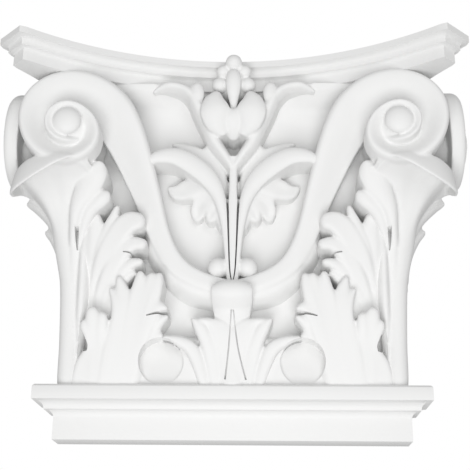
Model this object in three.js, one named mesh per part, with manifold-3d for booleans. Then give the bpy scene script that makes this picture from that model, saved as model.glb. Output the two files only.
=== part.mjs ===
// Pilaster capital with acanthus leaves and volutes, moulded in one piece with a flat back.
// Millimetres, Z up, front towards minus Y. The origin is the middle of the flat back.
// Carving points are written as [across, depth from the wall, height above the foot].

import * as THREE from "three";
import Module from "manifold-3d";

const wasm = await Module();
wasm.setup();

// Overall sizes
const HEIGHT = 246;
const FOOT_HALF = 110;
const FOOT_DEPTH = 20;
const FOOT_HEIGHT = 13.4;
const BAND_STEP = 12;
const BAND_TOP = 32.1;

// Abacus: hollow front, horns cut off at forty-five degrees
const ABACUS_BOTTOM = 227.4;
const ABACUS_MID_DEPTH = 48;
const HORN_X = 132.5;
const HORN_DEPTH = 95.3;
const HORN_MIRROR = 55.5;

// Corner symmetry: across minus depth is this much on the corner's diagonal plane
const CORNER_MIRROR = 77;

// Volute spiral: its middle, and the radii of its rim and inner edge at each eighth of a turn
const VOLUTE_X = 103.5;
const VOLUTE_Z = 189.3;
const VOLUTE_EYE = 9;
const VOLUTE_RIMS = [
  46.5, 43, 40.7, 38.4, 31.8, 28.6, 27, 26, 19.5, 15.2, 14.8, 15, 14.6, 14.3, 14, 13, 11.5,
];
const VOLUTE_INNERS = [
  18, 14, 14.2, 14.4, 14, 13.8, 13.5, 13, 10.5, 9, 9, 9, 9, 8.8, 8.5, 8, 7.5,
];

// Depth of the volute's rim at each quarter turn, and the turn at which the spiral ends
const VOLUTE_DEPTHS = [61, 71, 73, 73, 74, 75.5, 76.5, 76.5, 71];
const VOLUTE_TURNS = 1.75;

// Eye between the leaves
const EYE_X = 43.5;
const EYE_Z = 46.3;
const EYE_RADIUS = 13.9;

// Leaves spread like fans. Each row is one lobe: root across, root height, tip across,
// tip height, tip depth, and how deep the notch after it is cut, as a share of its length.
const LOW_LEAF = [
  [94, 31, 92, 69, 38, 0.16],
  [88, 31, 85, 80.5, 40, 0.32],
  [79, 31, 76, 90.5, 40, 0.12],
  [75, 31, 69.5, 97.5, 41.5, 0.2],
  [70, 31, 57.5, 101, 43, 0.06],
  [66, 31, 46.5, 100, 43.5, 0.15],
  [64, 31, 40.5, 81.5, 42, 0.25],
  [60, 31, 41, 71, 40, 0.2],
  [55, 31, 44.5, 64.5, 38, 0.2],
];
const HIGH_LEAF = [
  [99, 58, 96.5, 131, 42, 0.12],
  [96, 58, 87.5, 141, 46, 0.24],
  [92, 58, 73.5, 143, 47, 0.09],
  [88, 58, 59, 143, 48, 0.27],
  [84, 58, 52, 120.5, 42, 0.36],
  [81, 58, 55.5, 107.5, 38, 0.16],
];
const MID_LEAF = [
  [4, 31, 7, 79, 37, 0.05],
  [12, 31, 25, 72, 39, 0.26],
  [22, 31, 33, 61, 33, 0.2],
];
const PALMETTE = [
  [1.5, 104, 36, 168, 46, 0.04],
  [3.2, 104, 45, 158, 46, 0.07],
  [5.4, 104, 38, 145, 42, 0.08],
  [7.6, 104, 29.5, 136, 39.5, 0.06],
  [10, 104, 20, 125, 37.5, 0.03],
];

// Corner leaf, turned about an upright axis on the corner's diagonal. Each row: turn in degrees
// towards the front, reach and height of the lip, inset and height of the bend above it.
const FLARE = [
  [-92, 24, 150, 2, 152],
  [-60, 33, 159, 2.5, 163],
  [-30, 35.5, 153, 3.5, 164],
  [0, 45.5, 146.5, 4.5, 164.5],
  [20, 47, 150.5, 6, 169],
  [40, 46.5, 158.5, 5.5, 170],
  [58, 44, 166, 3, 169],
  [75, 37, 163.5, 2, 165],
  [92, 27, 154, 2, 156],
];

// Axis of the corner leaf: height, and distance out along the diagonal
const FLARE_AXIS = [[31, 87], [100, 90], [140, 95], [170, 97]];

// Ribbon under the volute: across, depth, height and half-width on its way up
const RIBBON = [
  [-3, 36, 91.6, 5.4],
  [4, 36, 92, 5.6],
  [21.5, 37, 96.5, 5.4],
  [29.5, 37.5, 101.8, 5],
  [37, 38.5, 109.5, 5],
  [44.5, 40, 119.5, 5.8],
  [49, 42, 131.5, 6.8],
  [54.5, 46.5, 153, 8.2],
  [60, 52.5, 170, 10.8],
];

// Depth at which the backs of solid carving end, inside the bell
const INSIDE = 15;

// Edges shorter than this may close up where pieces are joined
const JOIN_TOLERANCE = 0.06;

// Small helpers
const lerp = (a, b, t) => a + (b - a) * t;
const mixPoint = (p, q, t) => p.map((value, i) => lerp(value, q[i], t));

function unit(v) {
  const length = Math.hypot(...v);
  return v.map((value) => value / length);
}

const apart = (p, q) => Math.hypot(p[0] - q[0], p[1] - q[1], p[2] - q[2]);

function cross(a, b) {
  return [a[1] * b[2] - a[2] * b[1], a[2] * b[0] - a[0] * b[2], a[0] * b[1] - a[1] * b[0]];
}

// Closed solid from points and triangles, turned outwards
function solid(points, triangles) {
  let volume = 0;
  for (let i = 0; i < triangles.length; i += 3) {
    const [a, b, c] = [points[triangles[i]], points[triangles[i + 1]], points[triangles[i + 2]]];
    const n = cross(b, c);
    volume += a[0] * n[0] + a[1] * n[1] + a[2] * n[2];
  }
  // Depth runs against Y, so a positive sum here means the faces look inwards.
  const turned = volume > 0 ? triangles.slice().reverse() : triangles;
  const flat = points.flatMap(([x, depth, z]) => [x, -depth, z - HEIGHT / 2]);
  const mesh = new wasm.Mesh({
    numProp: 3,
    vertProperties: new Float32Array(flat),
    triVerts: new Uint32Array(turned),
    tolerance: JOIN_TOLERANCE,
  });
  return new wasm.Manifold(mesh);
}

// Skin through a row of equal rings: level rings are capped flat, strips are closed across,
// and any others run to a point
function skin(rings, level = false) {
  const count = rings[0].length;
  const points = rings.flat();
  const triangles = [];
  for (let i = 0; i + 1 < rings.length; i += 1) {
    for (let j = 0; j < count; j += 1) {
      const a = i * count + j;
      const b = i * count + ((j + 1) % count);
      const [c, d] = [b + count, a + count];
      const fold = apart(points[a], points[c]) <= apart(points[b], points[d]);
      triangles.push(...(fold ? [a, b, c, a, c, d] : [a, b, d, b, c, d]));
    }
  }
  const last = (rings.length - 1) * count;
  if (level === true) {
    const outline = rings[0].map(([x, depth]) => new THREE.Vector2(x, depth));
    const clockwise = THREE.ShapeUtils.isClockWise(outline);
    const cap = THREE.ShapeUtils.triangulateShape(outline, []);
    cap.forEach(([a, b, c]) => {
      triangles.push(...(clockwise ? [a, b, c] : [a, c, b]));
    });
    const top = rings[rings.length - 1].map(([x, depth]) => new THREE.Vector2(x, depth));
    THREE.ShapeUtils.triangulateShape(top, []).forEach(([a, b, c]) => {
      const face = clockwise ? [a, c, b] : [a, b, c];
      triangles.push(...face.map((k) => k + last));
    });
    return solid(points, triangles);
  }
  if (level === "strip") {
    const hub = count - 1;
    for (let j = 0; j + 1 < hub; j += 1) {
      triangles.push(hub, j + 1, j);
      triangles.push(hub + last, j + last, j + 1 + last);
    }
    return solid(points, triangles);
  }
  const ends = [0, last];
  ends.forEach((start, side) => {
    const ring = points.slice(start, start + count);
    const middle = [0, 1, 2].map((axis) => ring.reduce((sum, p) => sum + p[axis], 0) / count);
    const pole = points.push(middle) - 1;
    for (let j = 0; j < count; j += 1) {
      const a = start + j;
      const b = start + ((j + 1) % count);
      triangles.push(...(side === 0 ? [pole, b, a] : [pole, a, b]));
    }
  });
  return solid(points, triangles);
}

// Smooth curve through a row of stations of any length
function through(stations, t) {
  const span = stations.length - 1;
  const k = Math.min(Math.floor(t * span), span - 1);
  const u = t * span - k;
  const [p0, p1, p2, p3] = [k - 1, k, k + 1, k + 2].map(
    (i) => stations[Math.max(0, Math.min(span, i))]
  );
  return p1.map((_, i) => {
    const slope1 = (p2[i] - p0[i]) / 2;
    const slope2 = (p3[i] - p1[i]) / 2;
    const u2 = u * u;
    const u3 = u2 * u;
    const near = (2 * u3 - 3 * u2 + 1) * p1[i] + (u3 - 2 * u2 + u) * slope1;
    return near + (-2 * u3 + 3 * u2) * p2[i] + (u3 - u2) * slope2;
  });
}

// Blade: a crowned strip carried along a spine, solid to the bell unless it has a thickness
function blade(spine, half, options = {}) {
  const { crown = 2.2, thick = null, steps = 5, side = null } = options;
  const rings = [];
  for (let i = 0; i <= steps; i += 1) {
    const t = i / steps;
    const centre = spine(t);
    const ahead = spine(Math.min(1, t + 0.02));
    const behind = spine(Math.max(0, t - 0.02));
    const along = unit(ahead.map((value, k) => value - behind[k]));
    const across = side ?? unit(cross(along, [0, 1, 0]));
    const front = unit(cross(across, along));
    const width = half(t);
    const lift = crown * Math.min(1, width / 4);
    const section = [
      [-1, 0],
      [-0.5, lift],
      [0.5, lift],
      [1, 0],
      [0.8, -(thick ?? 1)],
      [-0.8, -(thick ?? 1)],
    ];
    const ring = section.map(([s, h]) => (
      centre.map((value, k) => value + across[k] * s * width + front[k] * h)
    ));
    if (thick === null) {
      ring[4][1] = INSIDE;
      ring[5][1] = INSIDE;
    }
    rings.push(ring);
  }
  return skin(rings);
}

// Row of a table at any place along it, running straight on past both ends
function rowAt(rows, u) {
  const span = rows.length - 1;
  if (u < 0) {
    return mixPoint(rows[0], rows[1], u);
  }
  if (u > span) {
    return mixPoint(rows[span - 1], rows[span], u - span + 1);
  }
  return through(rows, u / span);
}

// Fan leaf: one fluted sheet whose edge is cut into blunt lobes, one to a row
function fan(rows, options = {}) {
  const { rootDepth = 27.5, lean = 0.1, rise = 0.7, crown = 3, curl = 1.5 } = options;
  const steps = 3;
  const rings = [];
  const places = rows.flatMap((_, lobe) => [[lobe, -0.3], [lobe, 0.3], [lobe, 0.5]]);
  [[0, -0.5], ...places].forEach(([lobe, off]) => {
    const [rootX, rootZ, tipX, tipZ, tipDepth] = rowAt(rows, lobe + off);
    const notch = rows[Math.max(0, off < 0 ? lobe - 1 : lobe)][5];
    const blunt = Math.sqrt(1 - Math.abs(2 * off) ** 2.4);
    const reach = 1 - notch * (1 - blunt);
    const root = [rootX, rootDepth, rootZ];
    const bend = [lerp(rootX, tipX, lean), lerp(rootDepth, tipDepth, 0.25), lerp(rootZ, tipZ, rise)];
    const tip = [tipX, tipDepth, tipZ];
    const ring = [];
    for (let j = 0; j <= steps; j += 1) {
      const t = (j / steps) * reach;
      const spot = mixPoint(mixPoint(root, bend, t), mixPoint(bend, tip, t), t);
      const swell = Math.max(0, Math.min(1, (t - 0.25) / 0.6));
      const lip = j === steps ? curl : 0;
      ring.push([spot[0], spot[1] + crown * (blunt - 0.5) * swell + lip, spot[2]]);
    }
    ring.push([ring[steps][0], INSIDE, ring[steps][2]], [rootX, INSIDE, rootZ]);
    rings.push(ring);
  });
  return skin(rings, "strip");
}

// Round bead
function bead([x, depth, z], radius, steps = 4, count = 7) {
  const rings = [];
  for (let i = 1; i < steps; i += 1) {
    const polar = (Math.PI * i) / steps;
    const ring = [];
    for (let j = 0; j < count; j += 1) {
      const turn = (2 * Math.PI * j) / count;
      const r = radius * Math.sin(polar);
      ring.push([x + r * Math.cos(turn), depth + radius * Math.cos(polar), z + r * Math.sin(turn)]);
    }
    rings.push(ring);
  }
  return skin(rings);
}

// Foot block, cove and band: a stack of oblongs against the wall
function base() {
  const profile = [
    [0, 0],
    [0, FOOT_HEIGHT],
    [1.2, FOOT_HEIGHT + 2.6],
    [4.6, FOOT_HEIGHT + 4.4],
    [5.8, FOOT_HEIGHT + 5.2],
    [7, FOOT_HEIGHT + 7.4],
    [BAND_STEP, FOOT_HEIGHT + 9.6],
    [BAND_STEP, BAND_TOP - 1.2],
    [BAND_STEP - 1.2, BAND_TOP],
  ];
  const rings = profile.map(([step, z]) => {
    const half = FOOT_HALF + step;
    const depth = FOOT_DEPTH + step;
    return [[-half, 0, z], [half, 0, z], [half, depth, z], [-half, depth, z]];
  });
  return skin(rings, true);
}

// Outline of the abacus drawn in by a step
function abacusRing(step, z) {
  const radius = (HORN_X ** 2 + (HORN_DEPTH - ABACUS_MID_DEPTH) ** 2)
    / (2 * (HORN_DEPTH - ABACUS_MID_DEPTH));
  const centre = ABACUS_MID_DEPTH + radius;
  const reach = radius + step;
  const sum = HORN_X + HORN_DEPTH - step * Math.SQRT2;
  // Where the hollow front meets the cut horn: across plus depth is the sum
  const middle = (sum + centre) / 2;
  const root = Math.sqrt(reach ** 2 / 2 - ((sum - centre) / 2) ** 2);
  const hornDepth = middle - root;
  const hornX = sum - hornDepth;
  const front = [];
  const pieces = 8;
  for (let i = 0; i <= pieces; i += 1) {
    const angle = Math.asin(hornX / reach) * (1 - i / pieces);
    front.push([reach * Math.sin(angle), centre - reach * Math.cos(angle)]);
  }
  const wallAngle = Math.asin(Math.min(1, HORN_MIRROR / reach));
  const side = [];
  const sidePieces = 4;
  for (let i = 0; i <= sidePieces; i += 1) {
    const angle = lerp(wallAngle, Math.asin(hornX / reach), i / sidePieces);
    const across = reach * Math.sin(angle);
    const depth = centre - reach * Math.cos(angle);
    side.push([depth + HORN_MIRROR, across - HORN_MIRROR]);
  }
  const right = [...side, ...front];
  const left = right.slice(0, -1).map(([x, depth]) => [-x, depth]).reverse();
  return [...right, ...left].map(([x, depth]) => [x, depth, z]);
}

function abacus() {
  const profile = [
    [7.5, ABACUS_BOTTOM],
    [7.5, 234.5],
    [4.5, 236.2],
    [4.5, 239],
    [1.2, 240],
    [0, 241.6],
    [0, HEIGHT],
  ];
  return skin(profile.map(([step, z]) => abacusRing(step, z)), true);
}

// Bell: the plain ground behind the leaves, flaring to a lip under the abacus
function bell() {
  const levels = [
    [BAND_TOP - 4, 101, 22, 0],
    [120, 101, 24, 0],
    [170, 101, 28, 0.5],
    [200, 104, 34, 1.5],
    [216, 109, 39.5, 3],
    [224, 114, 43.5, 4],
    [ABACUS_BOTTOM + 2, 115, 44, 4],
  ];
  const rings = levels.map(([z, half, depth, hollow]) => {
    const front = [];
    for (let i = -2; i <= 2; i += 1) {
      const x = (i / 2) * (half - 12);
      front.push([x, depth + hollow * Math.min(1.5, (x / 60) ** 2), z]);
    }
    const corner = front[front.length - 1][1];
    return [
      [half, 0, z],
      [-half, 0, z],
      [-half, corner - 12, z],
      ...front,
      [half, corner - 12, z],
    ];
  });
  return skin(rings, true);
}

// Number of a table at any place from its start to its end
const along = (table, t) => through(table.map((value) => [value]), Math.min(1, t))[0];

// Spiral band: place, half-width and how far it is dished
function voluteStation(turn) {
  const outer = along(VOLUTE_RIMS, turn / 2);
  const inner = along(VOLUTE_INNERS, turn / 2);
  const middle = (outer + inner) / 2;
  const angle = turn * 2 * Math.PI;
  const depth = along(VOLUTE_DEPTHS, turn / 2);
  return {
    centre: [VOLUTE_X - middle * Math.cos(angle), depth, VOLUTE_Z + middle * Math.sin(angle)],
    half: (outer - inner) / 2,
    blend: Math.min(1, (outer - inner) / 20),
  };
}

// Ribbon and volute in one sweep: crowned on the way up, dished with a groove in the spiral
function volute(stem, from, steps, thick, place) {
  const plain = [[1, -1], [0.6, 1], [-0.6, 1], [-1, -1], [-1, -thick], [1, -thick]];
  const dished = [[1, -3], [0.75, 0], [-0.2, -4.6], [-1, -9], [-1, -thick - 5], [1, -thick - 5]];
  const path = stem.map(([x, depth, z, half], i) => ({
    centre: [x, depth, z],
    half,
    blend: Math.max(0, (i - 4) / 5),
  }));
  for (let i = 0; i <= steps; i += 1) {
    path.push(voluteStation(lerp(from, VOLUTE_TURNS, (i / steps) ** 1.25)));
  }
  const rings = path.map(({ centre, half, blend }, i) => {
    const ahead = path[Math.min(path.length - 1, i + 1)].centre;
    const behind = path[Math.max(0, i - 1)].centre;
    const heading = unit([ahead[0] - behind[0], 0, ahead[2] - behind[2]]);
    const across = cross(heading, [0, 1, 0]);
    return plain.map((point, k) => {
      const [s, h] = mixPoint(point, dished[k], blend);
      const spot = centre.map((value, axis) => value + across[axis] * s * half);
      return place([spot[0], spot[1] + h, spot[2]]);
    });
  });
  return skin(rings);
}

// Point at a distance out along the corner's diagonal and aside from it
function onDiagonal(out, aside, z) {
  const across = (out * Math.SQRT2 + CORNER_MIRROR) / 2;
  return [across + aside / Math.SQRT2, across - CORNER_MIRROR - aside / Math.SQRT2, z];
}

// Pier: the solid corner behind the leaves and between the two volutes
function pier() {
  const levels = [
    [BAND_TOP - 3, 93, 9],
    [120, 96, 10],
    [150, 101, 13],
    [172, 110, 20],
    [200, 112, 24],
    [ABACUS_BOTTOM + 2, 114, 27],
  ];
  const rings = levels.map(([z, out, half]) => {
    const outline = [[out, half * 0.6], [out, -half * 0.6], [86, -half], [86, half]];
    return outline.map(([reach, aside]) => onDiagonal(reach, aside, z));
  });
  return skin(rings, true);
}

// Distance of the corner leaf's axis out along the diagonal at any height
function flareAxis(z) {
  const next = FLARE_AXIS.findIndex(([height]) => height > z);
  const k = next < 1 ? FLARE_AXIS.length - 1 : next;
  const [[z0, out0], [z1, out1]] = [FLARE_AXIS[k - 1], FLARE_AXIS[k]];
  return lerp(out0, out1, (z - z0) / (z1 - z0));
}

// Corner leaf: a stem that opens like a trumpet, with a lip that droops most on the diagonal
function trumpet() {
  const rings = FLARE.map(([turn, reach, low, inset, top]) => {
    const bend = reach - inset;
    const wide = bend / 42;
    const outline = [
      [2, BAND_TOP - 1],
      [7, BAND_TOP - 1],
      [10.5, 121],
      [8 + 8 * wide, top - 26],
      [7 + 18.5 * wide, top - 14],
      [bend, top - 4.5],
      [reach - 0.8, low],
      [reach, low + 1],
      [reach - 0.35 * inset, lerp(low, top, 0.55)],
      [bend - 2, top - 0.4],
      [bend - 16 * wide, top - 1],
      [2, top - 4],
    ];
    const angle = (turn * Math.PI) / 180;
    return outline.map(([radius, z]) => (
      onDiagonal(flareAxis(z) + radius * Math.cos(angle), -radius * Math.sin(angle), z)
    ));
  });
  return skin(rings, "strip");
}

// Swap front and side about the corner's diagonal plane
const aroundCorner = ([x, depth, z]) => [depth + CORNER_MIRROR - 2, x - CORNER_MIRROR, z];

// Blade along stations of across, depth, height and half-width
function trail(stations, options) {
  return blade((t) => through(stations, t).slice(0, 3), (t) => through(stations, t)[3], options);
}

// Skirt: the low sheet that joins the leaves round the eye
function skirt() {
  const levels = [
    [BAND_TOP - 2, 27.5],
    [44, 29],
    [55, 29.5],
    [66, 24],
  ];
  const rings = levels.map(([z, depth]) => [[0, 12, z], [98, 12, z], [98, depth, z], [0, depth, z]]);
  return skin(rings, true);
}

// Round sinking of the eye, shallow in the skirt
function eyeCutter() {
  const rings = [27, 60].map((depth) => {
    const ring = [];
    for (let j = 0; j < 14; j += 1) {
      const turn = (Math.PI * (j + 0.4)) / 7;
      ring.push([EYE_X + EYE_RADIUS * Math.cos(turn), depth, EYE_Z + EYE_RADIUS * Math.sin(turn)]);
    }
    return ring;
  });
  return skin(rings);
}

// Hood of the eye: a leaf edge that curls round it from the band
function eyeHood(fromDegrees, toDegrees) {
  const radius = EYE_RADIUS + 5;
  const spine = (t) => {
    const angle = (lerp(fromDegrees, toDegrees, t) * Math.PI) / 180;
    return [EYE_X + radius * Math.cos(angle), lerp(28, 31.5, t), EYE_Z + radius * Math.sin(angle)];
  };
  return blade(spine, () => 6, { crown: 2.6, steps: 5 });
}

// Everything carved on the right half
function rightHalf() {
  const sheets = [fan(LOW_LEAF), fan(MID_LEAF, { crown: 2 }), skirt(), eyeHood(-60, 95), eyeHood(240, 85)];
  const leaves = sheets.reduce((all, piece) => all.add(piece));
  const pieces = [leaves.subtract(eyeCutter()), fan(HIGH_LEAF, { rootDepth: 26 })];
  pieces.push(volute(RIBBON, 0, 19, 13, (p) => p), pier(), trumpet());
  pieces.push(bead([VOLUTE_X, 70.5, VOLUTE_Z], VOLUTE_EYE, 4, 9));
  pieces.push(bead([VOLUTE_X, 58, VOLUTE_Z], 15, 3, 8));
  // Lobes beside the corner leaf, on the front and on the side
  pieces.push(trail([
    [102.5, 36, 120, 2], [98.5, 49, 140, 5], [91.5, 54.5, 153, 8],
    [86.5, 57.5, 161, 7.6], [83, 57.5, 168, 2],
  ], { crown: 3 }));
  pieces.push(trail([
    [100, 33, 116, 2], [91.5, 47, 137.5, 4.2], [83.5, 51.5, 145.6, 5], [77.8, 51, 149.2, 2],
  ], { crown: 3, steps: 4 }));
  const sideways = { crown: 2, thick: 5, steps: 3, side: [0, 1, 0] };
  pieces.push(trail([
    [112, 20, 122, 4], [121, 18, 140, 6], [132, 16, 152, 5.5], [139, 15, 157, 2.5],
  ], sideways));
  pieces.push(trail([
    [110, 16, 100, 4], [114, 15, 118, 6], [120, 14, 131, 5.5], [125.5, 13, 137.5, 2.5],
  ], sideways));
  // Side face of the corner, in keeping with the front and plainer
  pieces.push(volute([], 0.17, 14, 5, aroundCorner));
  pieces.push(bead(aroundCorner([VOLUTE_X, 68, VOLUTE_Z]), VOLUTE_EYE, 4, 8));
  pieces.push(bead(aroundCorner([VOLUTE_X, 57, VOLUTE_Z]), 15, 3, 7));
  pieces.push(trail([
    [101, 28, 31, 5], [101, 30.5, 90, 5.4], [101, 37, 125, 5.5], [99, 43, 140, 4],
  ], { steps: 4 }));
  // Palmette: hooked leaf, its sheet, the leaf behind it, and the arm that rises beside the flower
  pieces.push(trail([
    [2.6, 37, 93, 1.3], [4.2, 39.5, 120, 2.6], [6.6, 43, 144, 4.4], [13, 46.5, 159, 6.4],
    [24.5, 49, 169, 6.6], [37, 51, 175.6, 6], [48.5, 51.5, 175, 4.4], [56, 50, 170.4, 1.5],
  ], { steps: 6 }));
  pieces.push(fan(PALMETTE, { rootDepth: 36, lean: 0.02, rise: 0.75, crown: 1.6 }));
  pieces.push(trail([
    [4, 41, 158, 3], [12, 43, 173, 6], [24, 45, 182, 6.5], [39.5, 45, 187, 2],
  ], { steps: 4 }));
  pieces.push(trail([
    [0.5, 43, 171, 4], [9, 47.5, 184, 5], [20.5, 51, 199, 5.6], [29.5, 53.5, 213, 6], [35, 54, 221.5, 5],
  ], { steps: 4 }));
  pieces.push(trail([
    [30, 52, 211, 4.5], [36, 53.5, 220.5, 6], [44, 53.5, 225, 5.6], [54.5, 50, 222.5, 1.5],
  ]));
  pieces.push(trail([[30, 52, 208, 4], [26.5, 54, 218, 5], [26, 53, 227.5, 1.5]], { steps: 3 }));
  // Flower petal, ball at the foot of the stalk, beads of the bud
  pieces.push(trail([
    [5, 50, 188, 5], [10, 55, 196, 9.5], [12.6, 58, 204.5, 10.6],
    [13.2, 57.5, 212, 7.6], [12, 54.5, 218.6, 1.5],
  ], { crown: 3 }));
  pieces.push(bead([11, 32, 105.5], 6.2, 4, 8));
  pieces.push(bead([7.4, 54, 232], 4, 4, 6));
  pieces.push(bead([9.2, 51.5, 224], 4.6, 4, 6));
  return pieces.reduce((all, piece) => all.add(piece));
}

// Everything that straddles the middle
function middle() {
  const side = [-1, 0, 0];
  const cap = trail([
    [0, 27.5, BAND_TOP - 1, 5], [0, 29.5, 48, 6.5], [0, 31.5, 61, 8.5], [0, 34.5, 72, 11],
    [0, 39, 80, 12.6], [0, 43.4, 86, 13], [0, 44.6, 89, 12.8], [0, 43, 91.8, 12.2], [0, 38, 93.6, 11],
  ], { side, crown: 3, steps: 6 });
  const stalk = trail([
    [0, 37.5, 92, 0.9], [0, 40.5, 125, 1.6], [0, 43, 155, 3], [0, 44, 178, 3.6],
  ], { side, crown: 1.2, steps: 3 });
  const cup = trail([
    [0, 48, 185, 5], [0, 53.5, 192, 8], [0, 57.5, 199, 11], [0, 58.5, 202.5, 9], [0, 57, 204, 5],
  ], { side, crown: 3, steps: 4 });
  const petal = trail([
    [0, 50, 207, 1.2], [0, 57, 215, 3.6], [0, 59.5, 222, 4.6], [0, 58, 232, 3.4], [0, 55, 236, 2],
  ], { side, thick: 9 });
  const heart = bead([0, 44, 229], 11, 5, 9);
  const top = bead([0, 56.5, 239.3], 4.8, 4, 8);
  return [cap, stalk, cup, petal, heart, top].reduce((all, piece) => all.add(piece));
}

// Joined form
function capital() {
  const right = rightHalf();
  const left = right.mirror([1, 0, 0]);
  const whole = base().add(bell()).add(abacus()).add(right).add(left).add(middle());
  // Pin-head pockets shut in between overlapping lobes are filled: only the outer skin is kept
  return whole.decompose().sort((a, b) => b.volume() - a.volume())[0];
}

function toGeometry(form) {
  const mesh = form.getMesh();
  const geometry = new THREE.BufferGeometry();
  const stride = mesh.numProp;
  const count = mesh.vertProperties.length / stride;
  const positions = new Float32Array(count * 3);
  for (let i = 0; i < count; i += 1) {
    positions.set(mesh.vertProperties.subarray(i * stride, i * stride + 3), i * 3);
  }
  geometry.setAttribute("position", new THREE.BufferAttribute(positions, 3));
  geometry.setIndex(new THREE.BufferAttribute(new Uint32Array(mesh.triVerts), 1));
  geometry.computeVertexNormals();
  return geometry;
}

const white = new THREE.MeshStandardMaterial({ name: "white_moulding", color: 0xefeeec, roughness: 0.75 });
const form = new THREE.Mesh(toGeometry(capital()), white);
form.name = "capital";

const group = new THREE.Group();
group.name = "pilaster_capital";
group.add(form);

export default group;
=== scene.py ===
"""A white moulded pilaster capital: foot, bell, abacus and carving in one piece.

Lengths in the size fields are millimetres. A carving point is written as
(across from the middle, depth from the wall, height above the foot), and
metres() turns it into the part's own frame.
"""

import logging
import math
from dataclasses import dataclass
from enum import Enum
from typing import Callable, Sequence

import bmesh
import bpy
import numpy as np
from mathutils import Matrix, Vector


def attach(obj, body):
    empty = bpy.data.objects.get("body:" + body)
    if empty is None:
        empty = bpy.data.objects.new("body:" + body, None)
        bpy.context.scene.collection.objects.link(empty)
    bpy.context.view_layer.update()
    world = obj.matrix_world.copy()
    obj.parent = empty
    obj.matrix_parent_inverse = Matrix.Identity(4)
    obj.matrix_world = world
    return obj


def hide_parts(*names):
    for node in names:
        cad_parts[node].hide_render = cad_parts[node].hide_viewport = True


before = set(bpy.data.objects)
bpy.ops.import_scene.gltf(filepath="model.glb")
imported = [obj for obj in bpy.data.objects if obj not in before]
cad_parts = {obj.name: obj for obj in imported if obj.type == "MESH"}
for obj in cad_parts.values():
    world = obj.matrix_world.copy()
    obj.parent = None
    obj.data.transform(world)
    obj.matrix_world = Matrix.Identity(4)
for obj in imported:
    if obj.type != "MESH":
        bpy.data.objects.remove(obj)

LOG = logging.getLogger("capital")
Array = np.ndarray
Rows = Sequence[Sequence[float]]
Move = Callable[[Array], Array]
Pair = tuple[float, float]
Triple = tuple[float, float, float]
Colour = tuple[float, float, float, float]
Series = tuple[float, ...]
Object = bpy.types.Object

HEIGHT = 246.0
MILLIMETRE = 0.001
ROOT_TWO = math.sqrt(2)

# Carving runs back to this depth, which is inside the bell.
INSIDE = 15.0
# Across less depth, on the line that mirrors the front about a corner.
CORNER = 77.0
# Edges turn hard above these angles, on carving and on straight mouldings.
CARVED_CREASE = 60.0
MOULDED_CREASE = 30.0
# Corners of a straight moulding are softened above this angle.
EDGE_ANGLE = 35.0

NODE = "capital"
BODY = "root"
SLOT = "white_moulding"


class Half(Enum):
    """Which half of the capital a carving belongs to."""

    RIGHT = "right"
    LEFT = "left"


@dataclass(frozen=True)
class Shell:
    """A closed skin of quads and triangles, before it becomes a mesh."""

    points: Array
    quads: Array
    triangles: Array


def metres(points: Array) -> Array:
    """Turn carving points in millimetres into metres from the middle of the back."""
    across, depth, height = np.moveaxis(np.asarray(points, float), -1, 0)
    return np.stack([across, -depth, height - HEIGHT / 2], axis=-1) * MILLIMETRE


def unit(vectors: Array) -> Array:
    """The same directions, along the last axis, with length one."""
    size = np.linalg.norm(vectors, axis=-1, keepdims=True)
    return vectors / np.maximum(size, 1e-9)


def through(rows: Rows, where: Array) -> Array:
    """A smooth curve through stations, straight on beyond its two ends.

    The curve is a Catmull-Rom cubic: its slope at a station is half the
    difference of the two neighbours.

    Args:
        rows: The stations, one a row.
        where: Station numbers to sample, fractions included.

    Returns:
        One sampled row for each number.
    """
    table = np.asarray(rows, float)
    last = len(table) - 1
    place = np.clip(where, 0.0, last)
    low = np.minimum(place.astype(int), max(last - 1, 0))
    part = (place - low)[:, None]
    before, start, stop, after = (table[np.clip(low + k, 0, last)] for k in (-1, 0, 1, 2))
    slope_a, slope_b = (stop - before) / 2, (after - start) / 2
    cube, square = part**3, part**2
    curve = (
        (2 * cube - 3 * square + 1) * start
        + (cube - 2 * square + part) * slope_a
        + (3 * square - 2 * cube) * stop
        + (cube - square) * slope_b
    )
    ahead = np.maximum(where - last, 0.0)[:, None] * (table[-1] - table[-2])
    behind = np.minimum(where, 0.0)[:, None] * (table[1] - table[0])
    return curve + ahead + behind


def eased(rows: Array, reach: int) -> Array:
    """Ease out kinks by averaging each row with its neighbours.

    Args:
        rows: Rows of numbers along a path.
        reach: How many rows on each side are averaged.

    Returns:
        The eased rows, with both ends held.
    """
    padded = np.concatenate([np.repeat(rows[:1], reach, 0), rows, np.repeat(rows[-1:], reach, 0)])
    total = np.cumsum(np.concatenate([0 * rows[:1], padded]), axis=0)
    width = 2 * reach + 1
    return (total[width:] - total[:-width]) / width


def loft(rings: Array) -> Shell:
    """Join rings of equal count into one closed skin with a hub at each end.

    Args:
        rings: Points as (ring, place on the ring, coordinate).

    Returns:
        The closed skin.
    """
    count, around, _ = rings.shape
    ring, place = np.meshgrid(np.arange(count - 1), np.arange(around), indexing="ij")
    here = ring * around + place
    beside = ring * around + (place + 1) % around
    quads = np.stack([here, beside, beside + around, here + around], axis=-1).reshape(-1, 4)
    hubs = rings[[0, -1]].mean(axis=1)
    step = np.arange(around)
    turn = (step + 1) % around
    end = (count - 1) * around
    first = np.stack([np.full(around, count * around), turn, step], axis=-1)
    second = np.stack([np.full(around, count * around + 1), end + step, end + turn], axis=-1)
    points = np.concatenate([rings.reshape(-1, 3), hubs])
    return Shell(points, quads, np.concatenate([first, second]))


def moved(shell: Shell, move: Move) -> Shell:
    """A skin with its carving points carried to another place."""
    return Shell(move(shell.points), shell.quads, shell.triangles)


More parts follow.
